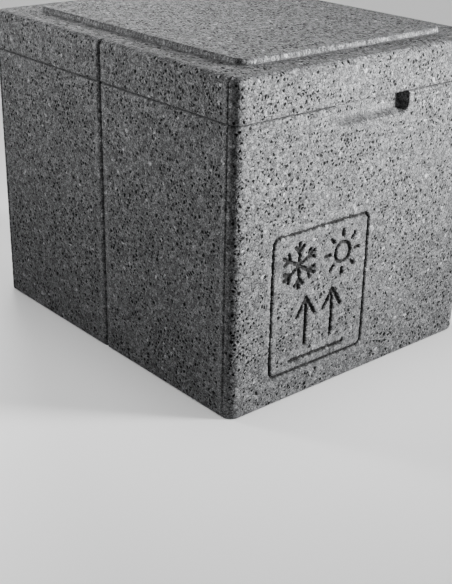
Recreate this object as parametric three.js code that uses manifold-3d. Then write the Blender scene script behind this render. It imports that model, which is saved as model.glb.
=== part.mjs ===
// Insulated transport box moulded from bead foam: a deep tub and a lid that lifts off.
// Millimetres, +Z up. The origin is the middle of the underside, -Y is the marked front.

import * as THREE from "three";
import { mergeVertices } from "three/addons/utils/BufferGeometryUtils.js";
import Module from "manifold-3d";

const wasm = await Module();
wasm.setup();

// The outside. The two left corners are tight, the two right ones are rounder.
const boxWidth = 330;
const boxLength = 390;
const boxHeight = 320;
const leftCornerRadius = 11;
const rightCornerRadius = 25;
const lowerEdgeRadius = 2.5;
const lidEdgeRadius = 6;

// The tub's hollow.
const wall = 30;
const floorThickness = 30;
const cavityCornerRadius = 18;
const cavityFloorRadius = 8;

// The joint between tub and lid: a step around the mouth and a plug that goes deeper.
const lidCapHeight = 40;
const stepWidth = 10;
const stepDepth = 12;
const plugDepth = 22;
const plugClearance = 0.6;
const seatGap = 0.3;

// Stacking: a pad on the lid, and a pocket under the tub that drops over the next box's pad.
const padHeight = 5;
const padInset = 34;
const padCornerRadius = 14;
const padEdgeRadius = 2;
const pocketClearance = 1.5;

// A moulded line down the middle of each long side.
const grooveWidth = 3.2;
const grooveDepth = 1.6;

// A finger pocket under the lid's edge, in the middle of each short side.
const gripWidth = 96;
const gripHeight = 20;
const gripDepth = 10;
const gripCornerRadius = 8;

// The marking field on the front: a frame around three handling signs.
const markLeft = 46;
const markBottom = 27;
const markWidth = 124;
const markHeight = 141;
const markDepth = 2.4;
const markCornerRadius = 9;
const markLine = 2.6;
const signStroke = 3.4;
const signMargin = 12;

// Facets: two to a step along a round corner, a stroke's end and the sun's ring.
const CORNER_STEPS = 4;
const EDGE_STEPS = 3;
const STROKE_STEPS = 2;
const RING_STEPS = 12;
const CUT_OVERRUN = 1;

const rimZ = boxHeight - padHeight - lidCapHeight;
const capTopZ = boxHeight - padHeight;
const frontY = -boxLength / 2;

// Shapes ------------------------------------------------------------------

/** Rounded rectangle about the origin, with its own radius for the left and the right corners. */
function footprint(width, length, leftRadius, rightRadius = leftRadius) {
  const x = width / 2;
  const y = length / 2;
  const shape = new THREE.Shape();
  shape.absarc(x - rightRadius, y - rightRadius, rightRadius, 0, Math.PI / 2);
  shape.absarc(-x + leftRadius, y - leftRadius, leftRadius, Math.PI / 2, Math.PI);
  shape.absarc(-x + leftRadius, -y + leftRadius, leftRadius, Math.PI, 1.5 * Math.PI);
  shape.absarc(x - rightRadius, -y + rightRadius, rightRadius, 1.5 * Math.PI, 2 * Math.PI);
  shape.closePath();
  return shape;
}

/** A shape extruded from one height to another, with both ends rounded over by edgeRadius. */
function prism(shape, bottomZ, topZ, edgeRadius = 0, curveSegments = CORNER_STEPS) {
  const geometry = new THREE.ExtrudeGeometry(shape, {
    depth: topZ - bottomZ - 2 * edgeRadius,
    bevelEnabled: edgeRadius > 0,
    bevelSize: edgeRadius,
    bevelThickness: edgeRadius,
    bevelOffset: -edgeRadius,
    bevelSegments: EDGE_STEPS,
    curveSegments,
  });
  return geometry.translate(0, 0, bottomZ + edgeRadius);
}

/** A straight stroke with round ends between two points. */
function stroke(x1, y1, x2, y2, width) {
  const turn = Math.atan2(y2 - y1, x2 - x1);
  const radius = width / 2;
  const shape = new THREE.Shape();
  shape.absarc(x2, y2, radius, turn - Math.PI / 2, turn + Math.PI / 2);
  shape.absarc(x1, y1, radius, turn + Math.PI / 2, turn + 1.5 * Math.PI);
  shape.closePath();
  return shape;
}

/** The line between two outlines that share a centre, the inner one given as a path. */
function ring(outer, inner) {
  outer.holes.push(new THREE.Path(inner.getPoints(CORNER_STEPS).reverse()));
  return outer;
}

// Solids ------------------------------------------------------------------

function toSolid(geometry) {
  const bare = geometry.clone();
  bare.deleteAttribute("normal");
  bare.deleteAttribute("uv");
  const merged = mergeVertices(bare);
  return new wasm.Manifold(
    new wasm.Mesh({
      numProp: 3,
      vertProperties: new Float32Array(merged.attributes.position.array),
      triVerts: new Uint32Array(merged.index.array),
    }),
  );
}

function toGeometry(solid) {
  const mesh = solid.getMesh();
  const geometry = new THREE.BufferGeometry();
  geometry.setAttribute("position", new THREE.BufferAttribute(mesh.vertProperties, 3));
  geometry.setIndex(new THREE.BufferAttribute(mesh.triVerts, 1));
  geometry.computeVertexNormals();
  return geometry;
}

/** The tub's outline grown inwards or outwards, for whatever follows the inside of the wall. */
function mouth(offset) {
  return footprint(
    boxWidth - 2 * wall + 2 * offset,
    boxLength - 2 * wall + 2 * offset,
    cavityCornerRadius + offset,
  );
}

/** The stacking pad's outline, grown by the pocket's clearance where asked. */
function padOutline(offset) {
  return footprint(
    boxWidth - 2 * padInset + 2 * offset,
    boxLength - 2 * padInset + 2 * offset,
    padCornerRadius + offset,
  );
}

/** V-section cutters down both long sides, over the full height of the box. */
function sideGrooves() {
  const slope = grooveWidth / 2 / grooveDepth;
  const halfMouth = (grooveDepth + CUT_OVERRUN) * slope;
  let cutters = null;
  for (const side of [-1, 1]) {
    const surfaceX = (side * boxWidth) / 2;
    const outline = [
      new THREE.Vector2(surfaceX + side * CUT_OVERRUN, -halfMouth),
      new THREE.Vector2(surfaceX - side * grooveDepth, 0),
      new THREE.Vector2(surfaceX + side * CUT_OVERRUN, halfMouth),
    ];
    const cutter = toSolid(prism(new THREE.Shape(outline), -CUT_OVERRUN, boxHeight + CUT_OVERRUN));
    cutters = cutters ? cutters.add(cutter) : cutter;
  }
  return cutters;
}

/** Finger pockets in the rim at the front and the back. */
function fingerPockets() {
  const pocket = footprint(gripWidth, 2 * gripDepth, gripCornerRadius);
  const cutter = prism(pocket, rimZ - gripHeight, rimZ + CUT_OVERRUN);
  const front = toSolid(cutter.clone().translate(0, frontY, 0));
  const back = toSolid(cutter.clone().translate(0, -frontY, 0));
  return front.add(back);
}

// The marking field ---------------------------------------------------------

/** Six arms with a pair of barbs on each: keep cold. */
function snowflake(cx, cy, radius) {
  const strokes = [];
  for (let arm = 0; arm < 6; arm += 1) {
    const turn = (arm * Math.PI) / 3 + Math.PI / 2;
    const tipX = cx + radius * Math.cos(turn);
    const tipY = cy + radius * Math.sin(turn);
    strokes.push(stroke(cx, cy, tipX, tipY, signStroke));
    const forkX = cx + 0.6 * radius * Math.cos(turn);
    const forkY = cy + 0.6 * radius * Math.sin(turn);
    for (const side of [-1, 1]) {
      const barb = turn + (side * Math.PI) / 4;
      const barbX = forkX + 0.34 * radius * Math.cos(barb);
      const barbY = forkY + 0.34 * radius * Math.sin(barb);
      strokes.push(stroke(forkX, forkY, barbX, barbY, signStroke));
    }
  }
  return strokes;
}

/** The ring of the sun sign: keep warm. */
function sunRing(cx, cy, radius) {
  const disc = new THREE.Shape();
  disc.absarc(cx, cy, 0.52 * radius, 0, 2 * Math.PI);
  const hole = new THREE.Path();
  hole.absarc(cx, cy, 0.52 * radius - signStroke, 0, 2 * Math.PI, true);
  disc.holes.push(hole);
  return disc;
}

/** The eight rays around the sun's ring. */
function sunRays(cx, cy, radius) {
  const strokes = [];
  for (let ray = 0; ray < 8; ray += 1) {
    const turn = (ray * Math.PI) / 4;
    const dx = radius * Math.cos(turn);
    const dy = radius * Math.sin(turn);
    strokes.push(stroke(cx + 0.76 * dx, cy + 0.76 * dy, cx + dx, cy + dy, signStroke));
  }
  return strokes;
}

/** Two arrows standing on a bar: this way up. */
function upArrows(cx, bottomY, height, spread) {
  const head = 0.3 * height;
  const shapes = [stroke(cx - 1.9 * head, bottomY, cx + 1.9 * head, bottomY, signStroke)];
  for (const side of [-1, 1]) {
    const x = cx + (side * spread) / 2;
    const topY = bottomY + height;
    shapes.push(stroke(x, bottomY + 0.22 * height, x, topY, signStroke));
    shapes.push(stroke(x, topY, x - 0.62 * head, topY - head, signStroke));
    shapes.push(stroke(x, topY, x + 0.62 * head, topY - head, signStroke));
  }
  return shapes;
}

/** Flat shapes as one cutter, markDepth deep. */
function engrave(shapes, curveSegments) {
  const solids = shapes.map((shape) => toSolid(prism(shape, -markDepth, CUT_OVERRUN, 0, curveSegments)));
  return solids.reduce((joined, solid) => joined.add(solid));
}

/** Every line of the marking field as one cutter, set into the front face. */
function markCutter() {
  const outer = footprint(markWidth, markHeight, markCornerRadius);
  const inner = footprint(markWidth - 2 * markLine, markHeight - 2 * markLine, markCornerRadius - markLine);
  const signRadius = (markWidth - 3 * signMargin) / 4;
  const upperX = signRadius + signMargin / 2;
  const upperY = markHeight / 2 - signMargin - signRadius;
  const arrowHeight = markHeight - 3 * signMargin - 2 * signRadius;
  const strokes = [
    ...snowflake(-upperX, upperY, signRadius),
    ...sunRays(upperX, upperY, signRadius),
    ...upArrows(0, -markHeight / 2 + signMargin, arrowHeight, signRadius + signMargin),
  ];
  const cutter = engrave([ring(outer, inner)], CORNER_STEPS)
    .add(engrave([sunRing(upperX, upperY, signRadius)], RING_STEPS))
    .add(engrave(strokes, STROKE_STEPS));
  const centreX = -boxWidth / 2 + markLeft + markWidth / 2;
  const centreZ = markBottom + markHeight / 2;
  return cutter.rotate([90, 0, 0]).translate([centreX, frontY, centreZ]);
}

// The pieces ------------------------------------------------------------------

function tubSolid() {
  const outside = footprint(boxWidth, boxLength, leftCornerRadius, rightCornerRadius);
  const body = toSolid(prism(outside, 0, rimZ, lowerEdgeRadius));
  const aboveRim = rimZ + cavityFloorRadius + CUT_OVERRUN;
  const hollow = toSolid(prism(mouth(0), floorThickness, aboveRim, cavityFloorRadius));
  const step = toSolid(prism(mouth(stepWidth), rimZ - stepDepth, rimZ + CUT_OVERRUN));
  const pocket = toSolid(prism(padOutline(pocketClearance), -CUT_OVERRUN, padHeight + pocketClearance));
  return body
    .subtract(hollow)
    .subtract(step)
    .subtract(pocket)
    .subtract(sideGrooves())
    .subtract(fingerPockets())
    .subtract(markCutter());
}

function lidSolid() {
  const outside = footprint(boxWidth, boxLength, leftCornerRadius, rightCornerRadius);
  const undersideZ = rimZ + seatGap;
  const overrun = 2 * lidEdgeRadius;
  const roundedTop = toSolid(prism(outside, undersideZ - overrun, capTopZ, lidEdgeRadius));
  const roundedFoot = toSolid(prism(outside, undersideZ, capTopZ + overrun, lowerEdgeRadius));
  const pad = toSolid(prism(padOutline(0), capTopZ - 2 * padEdgeRadius, boxHeight, padEdgeRadius));
  const stepBottom = undersideZ - stepDepth + seatGap;
  const step = toSolid(prism(mouth(stepWidth - plugClearance), stepBottom, undersideZ + CUT_OVERRUN));
  const plug = toSolid(prism(mouth(-plugClearance), rimZ - plugDepth, undersideZ + CUT_OVERRUN));
  return roundedTop
    .intersect(roundedFoot)
    .add(pad)
    .add(step)
    .add(plug)
    .subtract(sideGrooves());
}

function piece(name, solid, material) {
  const mesh = new THREE.Mesh(toGeometry(solid), material);
  mesh.name = name;
  return mesh;
}

const tubFoam = new THREE.MeshStandardMaterial({ color: 0x5c5d5f, roughness: 0.86, metalness: 0 });
const lidFoam = new THREE.MeshStandardMaterial({ color: 0x5e5f61, roughness: 0.86, metalness: 0 });

const group = new THREE.Group();
group.add(piece("tub", tubSolid(), tubFoam));
group.add(piece("lid", lidSolid(), lidFoam));

export default group;
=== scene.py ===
"""Insulated transport box of moulded bead foam: a deep tub and a lid that lifts off.

The foam is built bead by bead. Every surface is a sheet of fused beads: each bead has a
crown, sunken borders where it meets its neighbours, and here and there an open void where
three beads failed to close. Lengths inside the classes are in millimetres.
"""

import logging
import math
from abc import ABC, abstractmethod
from collections.abc import Callable, Sequence
from dataclasses import dataclass, field
from enum import Enum, IntEnum

import bpy
import numpy as np
from mathutils import Matrix, Vector
from mathutils.geometry import delaunay_2d_cdt
from mathutils.kdtree import KDTree


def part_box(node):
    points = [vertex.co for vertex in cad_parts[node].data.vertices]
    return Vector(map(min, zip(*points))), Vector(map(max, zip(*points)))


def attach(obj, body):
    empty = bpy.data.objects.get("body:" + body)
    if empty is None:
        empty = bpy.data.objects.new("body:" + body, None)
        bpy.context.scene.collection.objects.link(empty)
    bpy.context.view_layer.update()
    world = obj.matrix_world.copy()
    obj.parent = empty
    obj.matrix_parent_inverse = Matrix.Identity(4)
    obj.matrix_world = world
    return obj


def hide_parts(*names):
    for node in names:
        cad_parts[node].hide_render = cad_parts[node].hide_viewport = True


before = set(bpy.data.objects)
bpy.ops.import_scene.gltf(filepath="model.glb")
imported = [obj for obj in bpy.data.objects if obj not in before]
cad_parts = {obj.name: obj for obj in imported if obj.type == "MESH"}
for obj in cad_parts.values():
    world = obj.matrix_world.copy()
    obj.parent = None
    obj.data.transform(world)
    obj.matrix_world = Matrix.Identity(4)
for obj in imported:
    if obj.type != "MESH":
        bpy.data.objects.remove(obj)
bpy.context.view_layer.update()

LOG = logging.getLogger("foam_box")
METRES = 0.001

Pair = tuple[float, float]
Line = tuple[Pair, Pair]
Colour = tuple[float, float, float, float]


class Spot(IntEnum):
    """What a vertex of a foam sheet stands for."""

    RIM = 0
    BEAD = 1
    FINE = 2


class Side(Enum):
    """The way a flat sheet faces."""

    UP = 1.0
    DOWN = -1.0


# Outlines and sections --------------------------------------------------------------


@dataclass(frozen=True)
class Corner:
    """A corner of a path, rounded by its own radius.

    Attributes:
        x: Its first coordinate.
        y: Its second coordinate.
        radius: The radius it is rounded by, or 0 where it is sharp.
    """

    x: float
    y: float
    radius: float = 0.0


class RoundedPath:
    """A walk along straight legs and round corners, whose right-hand side is the outside."""

    def __init__(self, corners: Sequence[Corner]) -> None:
        """Lays the path out.

        Args:
            corners: The path's corners in walking order, ends included.
        """
        self.starts: list[float] = []
        self.points: list[np.ndarray] = []
        self.headings: list[float] = []
        self.bends: list[float] = []
        self.length = 0.0
        spots = [np.array((corner.x, corner.y), float) for corner in corners]
        here = spots[0]
        for index in range(1, len(spots)):
            leg = spots[index] - here
            heading = math.atan2(leg[1], leg[0])
            turn = 0.0
            if index + 1 < len(spots):
                onward = spots[index + 1] - spots[index]
                turn = math.remainder(math.atan2(onward[1], onward[0]) - heading, math.tau)
            radius = corners[index].radius
            cut = radius * math.tan(abs(turn) / 2)
            self._add(here, heading, 0.0, float(np.hypot(*leg)) - cut)
            ahead = np.array((math.cos(heading), math.sin(heading)))
            here = spots[index]
            if cut > 0:
                bend = math.copysign(1 / radius, turn)
                self._add(here - ahead * cut, heading, bend, radius * abs(turn))
                heading += turn
                here = here + np.array((math.cos(heading), math.sin(heading))) * cut

    def _add(self, point: np.ndarray, heading: float, bend: float, length: float) -> None:
        """Appends one stretch of the path.

        Args:
            point: Where the stretch starts.
            heading: Its direction there, in radians.
            bend: One over its radius, positive to the left, or 0 where it is straight.
            length: How long it is.
        """
        self.starts.append(self.length)
        self.points.append(point)
        self.headings.append(heading)
        self.bends.append(bend)
        self.length += length

    def at(self, along: np.ndarray) -> tuple[np.ndarray, np.ndarray]:
        """Finds points of the path.

        Args:
            along: Distances from the path's start.

        Returns:
            The points, and the unit normals to the right of the path there.
        """
        which = np.clip(np.searchsorted(self.starts, along, "right") - 1, 0, None)
        walked = along - np.array(self.starts)[which]
        first = np.array(self.headings)[which]
        bend = np.array(self.bends)[which]
        heading = first + bend * walked
        curved = bend != 0
        safe = np.where(curved, bend, 1.0)
        dx = np.where(curved, (np.sin(heading) - np.sin(first)) / safe, walked * np.cos(first))
        dy = np.where(curved, (np.cos(first) - np.cos(heading)) / safe, walked * np.sin(first))
        points = np.array(self.points)[which] + np.stack((dx, dy), 1)
        return points, np.stack((np.sin(heading), -np.cos(heading)), 1)

    def nearest(self, x: float, y: float) -> float:
        """Finds the distance along the path that lies closest to a point.

        Args:
            x: The point's first coordinate.
            y: The point's second coordinate.

        Returns:
            The distance from the path's start.
        """
        along = np.linspace(0, self.length, 20_000)
        points, _ = self.at(along)
        return float(along[np.argmin(np.hypot(points[:, 0] - x, points[:, 1] - y))])


def rectangle(width: float, length: float, left: float, right: float) -> RoundedPath:
    """Lays out a rounded rectangle about the origin, counterclockwise from a plain spot behind.

    Args:
        width: Its size along X.
        length: Its size along Y.
        left: Radius of the two corners at -X.
        right: Radius of the two corners at +X.

    Returns:
        The closed path.
    """
    x, y = width / 2, length / 2
    seam = Corner(-0.6 * x, y)
    corners = [seam, Corner(-x, y, left), Corner(-x, -y, left)]
    corners += [Corner(x, -y, right), Corner(x, y, right), seam]
    return RoundedPath(corners)


# What the mould presses into a sheet --------------------------------------------------


def smooth_step(value: np.ndarray) -> np.ndarray:
    """Eases from 0 to 1 as value goes from 0 to 1."""
    value = np.clip(value, 0, 1)
    return value * value * (3 - 2 * value)


@dataclass(frozen=True)
class Dent(ABC):
    """Something the mould presses into the foam, told by its distance field.

    Attributes:
        width: Full width of the line at half depth.
        depth: How deep it goes.
        slope: Width of each side wall, seen square on.
        lip: How far the foam dips towards the line beside it.
        lip_width: How wide that dip is.
        grain: Spacing of the fine points that carry the shape.
        ragged: How much the beads shift its edge.
        recess_shade: Whether its recess gets painted shade, darker the deeper it goes.
    """

    width: float
    depth: float
    slope: float = 0.7
    lip: float = 0.0
    lip_width: float = 1.0
    grain: float = 0.95
    ragged: float = 0.5
    recess_shade: bool = False

    @abstractmethod
    def distance(self, place: np.ndarray) -> np.ndarray:
        """Measures from the dent's centre line.

        Args:
            place: Points of the sheet's own plane, n by 2.

        Returns:
            The distance of each, which is below 0 only inside a pocket.
        """

    def near(self, place: np.ndarray) -> np.ndarray:
        """Says which places need fine points, as a mask."""
        reach = self.width / 2 + self.slope + self.ragged / 2 + self.grain
        return self.distance(place) < reach + 1.2 * self.lip_width * (self.lip > 0)

    def sink(self, place: np.ndarray, unevenness: np.ndarray) -> np.ndarray:
        """Works out how far the surface goes in.

        Args:
            place: Points of the sheet's own plane, n by 2.
            unevenness: From -0.5 to 0.5 for each, shared by the points of one bead.

        Returns:
            The depth at each point.
        """
        away = self.distance(place) + self.ragged * unevenness - self.width / 2
        wall = self.depth * smooth_step(0.5 - away / self.slope)
        return wall + self.lip * np.exp(-((np.clip(away, 0, None) / self.lip_width) ** 2))


@dataclass(frozen=True)
class Stroke(Dent):
    """A straight stroke with round ends.

    Attributes:
        start: Where its centre line starts.
        end: Where it ends.
    """

    start: Pair = (0.0, 0.0)
    end: Pair = (1.0, 0.0)

    def distance(self, place: np.ndarray) -> np.ndarray:
        """Measures from the stroke's centre line.

        Args:
            place: Points of the sheet's own plane, n by 2.

        Returns:
            The distance of each.
        """
        first, leg = np.array(self.start), np.array(self.end) - np.array(self.start)
        share = np.clip((place - first) @ leg / (leg @ leg), 0, 1)
        return np.linalg.norm(place - first - share[:, None] * leg, axis=1)


@dataclass(frozen=True)
class Ring(Dent):
    """A round line.

    Attributes:
        centre: The circle's middle.
        radius: Its radius.
    """

    centre: Pair = (0.0, 0.0)
    radius: float = 10.0

    def distance(self, place: np.ndarray) -> np.ndarray:
        """Measures from the circle."""
        return np.abs(np.linalg.norm(place - np.array(self.centre), axis=1) - self.radius)


@dataclass(frozen=True)
class Pocket(Dent):
    """A filled rounded rectangle pressed in, such as a finger pocket.

    Attributes:
        centre: The rectangle's middle.
        size: Its width and height.
        corner: Radius of its corners.
    """

    centre: Pair = (0.0, 0.0)
    size: Pair = (10.0, 10.0)
    corner: float = 1.0

    def distance(self, place: np.ndarray) -> np.ndarray:
        """Measures from the rectangle's outline.

        Args:
            place: Points of the sheet's own plane, n by 2.

        Returns:
            The distance of each, below 0 inside.
        """
        half = np.array(self.size) / 2 - self.corner
        past = np.abs(place - np.array(self.centre)) - half
        outside = np.linalg.norm(np.clip(past, 0, None), axis=1)
        return outside + np.clip(past.max(1), None, 0) - self.corner

    def near(self, place: np.ndarray) -> np.ndarray:
        """Says which places lie along the pocket's wall, as a mask."""
        away = self.distance(place) - self.width / 2
        return np.abs(away) < self.slope / 2 + 1.5 * self.grain


@dataclass(frozen=True)
class Frame(Pocket):
    """A line around a rounded rectangle, given as a pocket's outline is."""

    def distance(self, place: np.ndarray) -> np.ndarray:
        """Measures from the rectangle's outline, on both sides of it alike."""
        return np.abs(super().distance(place))

    def near(self, place: np.ndarray) -> np.ndarray:
        """Says which places need fine points, as for any line."""
        return Dent.near(self, place)


# Bead sheets -------------------------------------------------------------------------

# Bead centres keep these shares of a pitch away from fine points and from flat sheets' rims.
FINE_CLEARANCE, RIM_CLEARANCE = 0.42, 0.52
# A wrapped sheet overlaps itself by this many pitches while it is being triangulated.
WRAP_REACH = 6
# A void opens only in a triangle whose sides are all shorter than this many pitches.
LONGEST_SIDE = 1.75
# Fine points stray by this share of their spacing.
FINE_STRAY = 0.16
# Nearness to a border: of rims and plain fine points, of deep walls, and of junctions.
PLAIN_BORDER, WALL_BORDER, WORN_BORDER = 0.7, 0.6, (0.55, 1.0)
# Among fine points a border fades out over this share of a pitch.
BORDER_FADE = 0.55
# Walls of dents deeper than this, in millimetres, carry no bead relief.
DEEP_WALL = 4
# Fine points open into voids this much more rarely and less deeply than junctions do.
FINE_VOID_SHARE, FINE_VOID_DEPTH = 0.2, 0.8
# Rims are joined where their points agree to one part of a millimetre in this many.
WELD_STEPS = 1000


def tree_of(places: np.ndarray) -> KDTree:
    """Sorts flat points so that the nearest is found quickly.

    Args:
        places: The points, n by 2.

    Returns:
        The tree.
    """
    tree = KDTree(len(places))
    for index, (x, y) in enumerate(places):
        tree.insert((x, y, 0.0), index)
    tree.balance()
    return tree


def clear_of(places: np.ndarray, others: np.ndarray, gap: float) -> np.ndarray:
    """Says which places keep more than a gap away from all others, as a mask."""
    tree = tree_of(others)
    return np.array([tree.find((x, y, 0.0))[2] > gap for x, y in places], bool)


def twin_edges(start: np.ndarray, end: np.ndarray) -> np.ndarray:
    """Finds the triangle side that runs back along each side.

    Args:
        start: The point that each side starts from.
        end: The point it ends at.

    Returns:
        The number of each one's twin, or -1 where it has none.
    """
    count = start.max() + 1
    key, twin = start * count + end, end * count + start
    order = np.argsort(key)
    found = order[np.clip(np.searchsorted(key[order], twin), 0, len(key) - 1)]
    return np.where(key[found] == twin, found, -1)


def drop_neighbours(
    likely: np.ndarray, chance: np.ndarray, one: np.ndarray, other: np.ndarray
) -> None:
    """Takes back the less lucky of every two chosen points that are joined.

    Args:
        likely: A mask of the chosen points, which is changed.
        chance: Each point's draw; the lower stays.
        one: The first point of each joined pair.
        other: The second.
    """
    clash = likely[one] & likely[other]
    loser = np.where(chance[one] > chance[other], one, other)
    likely[loser[clash]] = False


@dataclass(frozen=True)
class BeadFoam:
    """The foam's grain.

    Attributes:
        pitch: Mean distance between bead centres.
        jitter: How far a centre strays, as a share of the pitch.
        missing: Share of the centres left out, so that some beads are larger.
        crown: How far the borders lie under the crowns.
        uneven: How much lower the lowest crown sits than the highest.
        void_share: Share of the three-bead junctions that stay open.
        void_depth: How deep an open junction goes.
        rim_pitch: Spacing of the vertices around a sheet's edge.
    """

    pitch: float = 3.5
    jitter: float = 0.36
    missing: float = 0.07
    crown: float = 0.3
    uneven: float = 0.14
    void_share: float = 0.22
    void_depth: float = 1.3
    rim_pitch: float = 2.3

    def lattice(self, width: float, height: float, rng: np.random.Generator) -> np.ndarray:
        """Scatters bead centres over a rectangle that joins up with itself along its width.

        Args:
            width: The rectangle's size along its first axis.
            height: Its size along the second.
            rng: The source of the strays.

        Returns:
            The centres, n by 2.
        """
        columns = max(round(width / self.pitch), 3)
        margin = 0.8 * self.pitch
        rows = max(round((height - 2 * margin) / (self.pitch * math.sqrt(3) / 2)) + 1, 1)
        if height < 2 * margin:
            return np.zeros((0, 2))
        step = width / columns
        x, row = np.meshgrid(np.arange(columns) * step, np.arange(rows))
        x = x + 0.5 * step * (row % 2) + rng.uniform(-1, 1, x.shape) * self.jitter * self.pitch
        y = margin + row * (height - 2 * margin) / max(rows - 1, 1)
        y = y + rng.uniform(-1, 1, y.shape) * self.jitter * self.pitch
        centres = np.stack((x.ravel() % width, y.ravel()), 1)
        return centres[rng.random(len(centres)) > self.missing]


@dataclass(frozen=True)
class VoidShape:
    """The star that an open void cuts, as shares of the way to its neighbours.

    Attributes:
        smallest: Size of the smallest void.
        spread: How much larger the largest is.
        skew: How rare the large ones are.
        short_arm: Shortest arm along a border between beads.
        arm_spread: How much longer the longest is.
        arm_skew: How rare the long ones are.
        bead_arm: How far the void eats towards a bead's crown.
        lip_shade: How far into the void its rim already counts as being, for the void's painted
            shade.
    """

    smallest: float = 0.55
    spread: float = 1.2
    skew: float = 1.5
    short_arm: float = 0.42
    arm_spread: float = 0.6
    arm_skew: float = 1.4
    bead_arm: float = 0.46
    lip_shade: float = 0.45


@dataclass
class Sheet:
    """One stretch of foam skin in space.

    Attributes:
        points: Its points, n by 3.
        faces: Rows of three points, counterclockwise from outside.
        border: How near each point is to its bead's border, from 0 to 1.
        tone: Each face's shade, from 0 to 1.
        mark_shade: How much painted shade each point gets in a mark's recess, from 0 to 1.
        void: How far into an open void each point is, from 0 to 1.
    """

    points: np.ndarray
    faces: np.ndarray
    border: np.ndarray
    tone: np.ndarray
    mark_shade: np.ndarray
    void: np.ndarray


@dataclass
class Spots:
    """The points that a sheet is drawn with, in its own plane.

    Attributes:
        places: Where they are, n by 2.
        kind: What each stands for.
        tone: The shade of each one's bead, from 0 to 1.
        border: How near each is to a border, from 0 to 1.
        shift: How uneven each is, about 0.
    """

    places: np.ndarray
    kind: np.ndarray
    tone: np.ndarray
    border: np.ndarray
    shift: np.ndarray


@dataclass
class Net:
    """Triangles over a sheet's points, joined round the back where it is wrapped.

    Attributes:
        spread: The points with their wrapped copies, n by 2.
        base: The point that each copy copies.
        triangles: Rows of three copies, counterclockwise.
    """

    spread: np.ndarray
    base: np.ndarray
    triangles: np.ndarray


@dataclass
class Draft:
    """Beads in the sheet's own plane, before they are lifted into space.

    Attributes:
        places: The points, with the junctions between beads after them, n by 2.
        faces: Rows of three points.
        tone: Each face's shade.
        border: How near each point is to a border.
        low: Each point's height, 0 or less.
        shift: How uneven each point is.
    """

    places: np.ndarray
    faces: np.ndarray
    tone: np.ndarray
    border: np.ndarray
    low: np.ndarray
    shift: np.ndarray


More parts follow.
